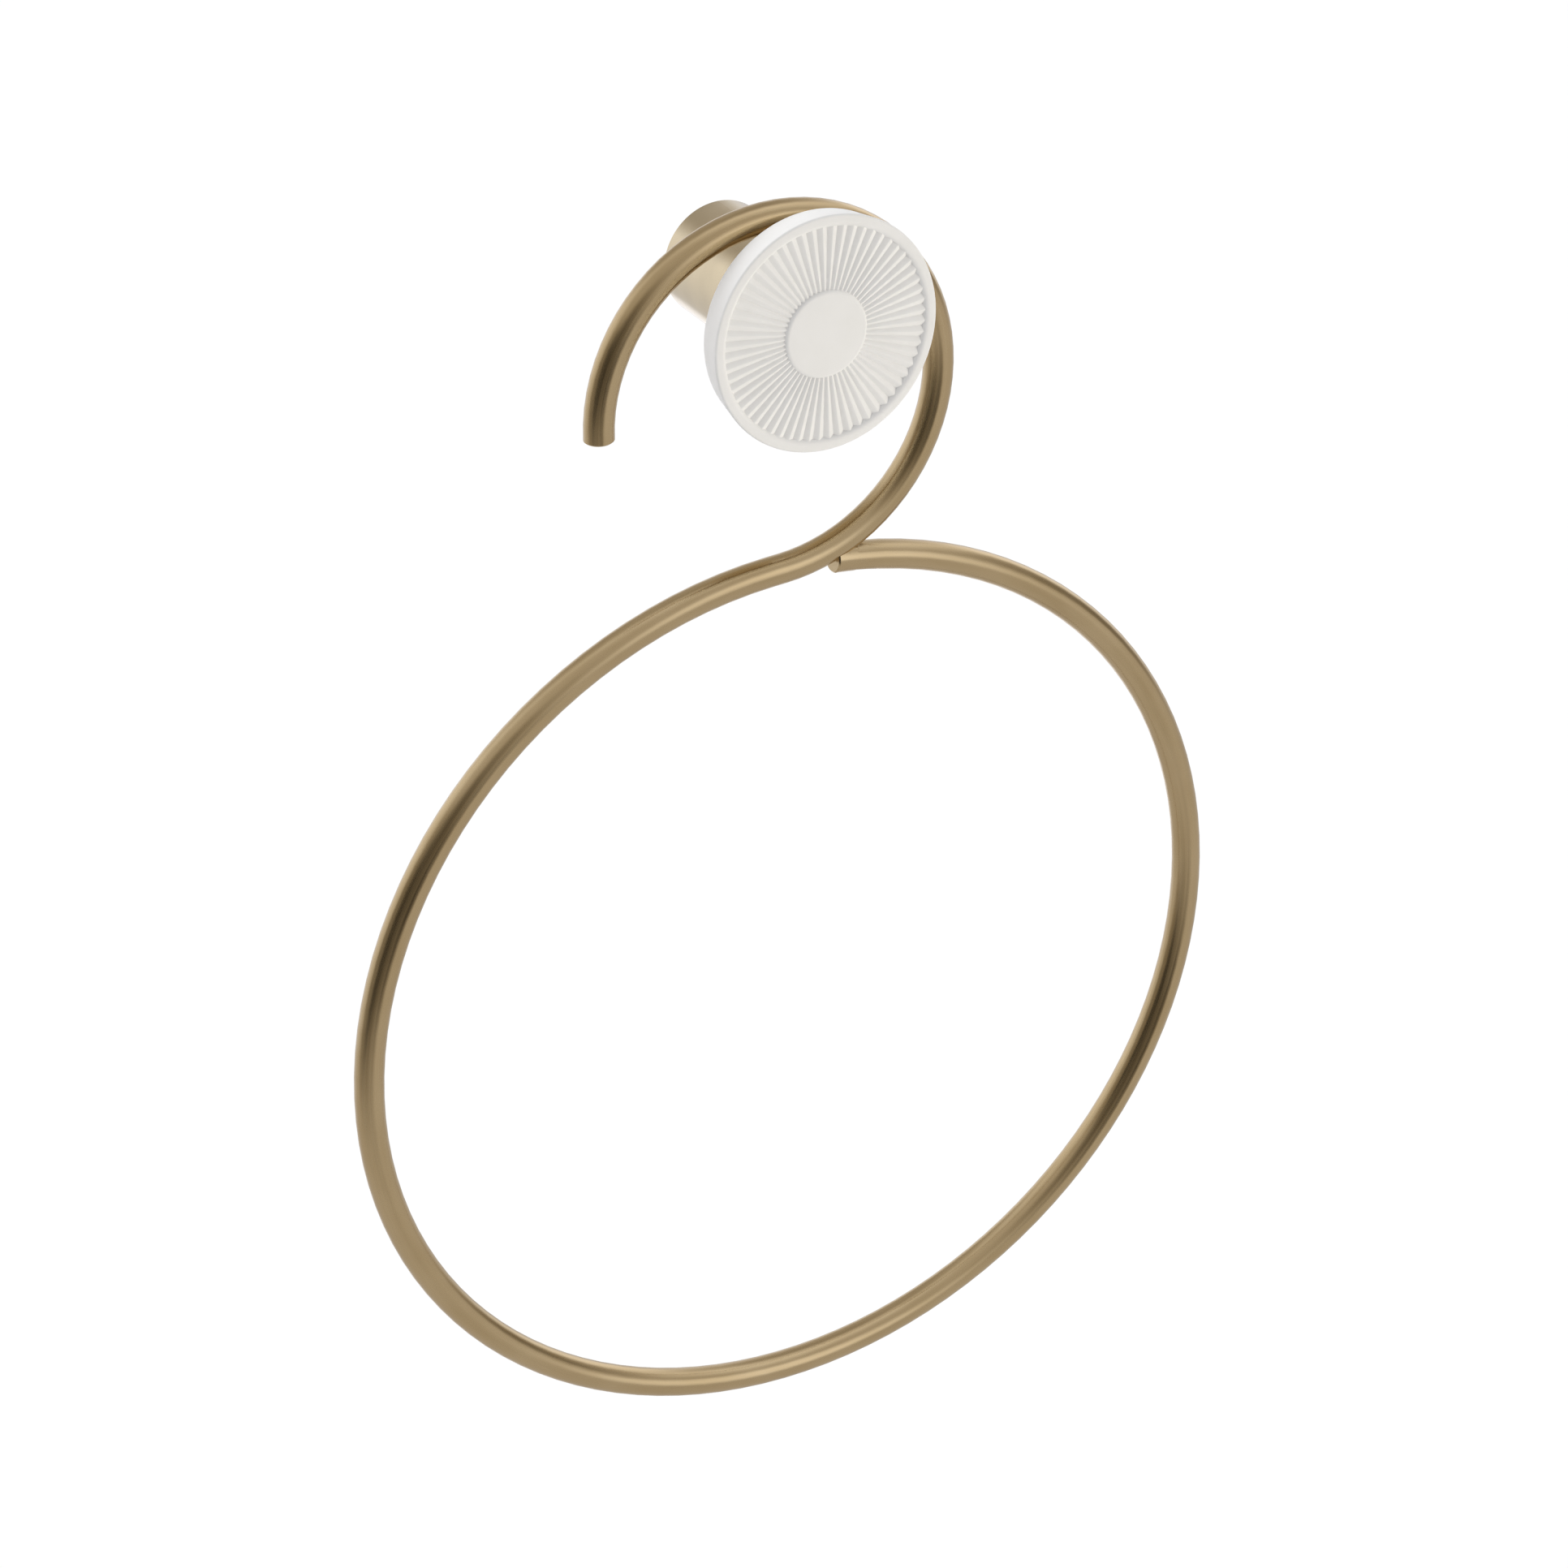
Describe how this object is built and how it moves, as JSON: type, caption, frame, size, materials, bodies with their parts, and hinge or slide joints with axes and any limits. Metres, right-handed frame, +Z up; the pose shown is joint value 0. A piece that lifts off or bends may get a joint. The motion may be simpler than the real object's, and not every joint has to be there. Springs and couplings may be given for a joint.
{
  "type": "towel ring",
  "caption": "Wall-mounted towel ring: a satin brass rod bent to an open hook above a closed ring, carried by a round post behind a fluted white ceramic disc.",
  "frame": {"origin": "centre of the post's wall face, on the wall plane", "axes": "+Y into the wall, +X to the right for someone facing the wall, +Z up; the ring hangs below the origin in a plane parallel to the wall"},
  "size_m": [0.2084, 0.0468, 0.2861],
  "materials": {
    "rod_brass": "satin, brushed along the rod",
    "plate_brass": "satin",
    "post_brass": "fine satin",
    "white_ceramic": "smooth matt white",
    "pad_rubber": "matt",
    "insert_brass": "as turned",
    "screw_steel": "bright",
    "bracket_brass": "as turned"
  },
  "bodies": {
    "root": {"ring_rod": "rod_brass", "backplate": "plate_brass", "wall_post": "post_brass", "medallion": "white_ceramic", "medallion_pad": "pad_rubber", "medallion_insert": "insert_brass", "medallion_screw": "screw_steel", "wall_bracket": "bracket_brass", "grub_screw": "screw_steel"}
  },
  "joints": []
}
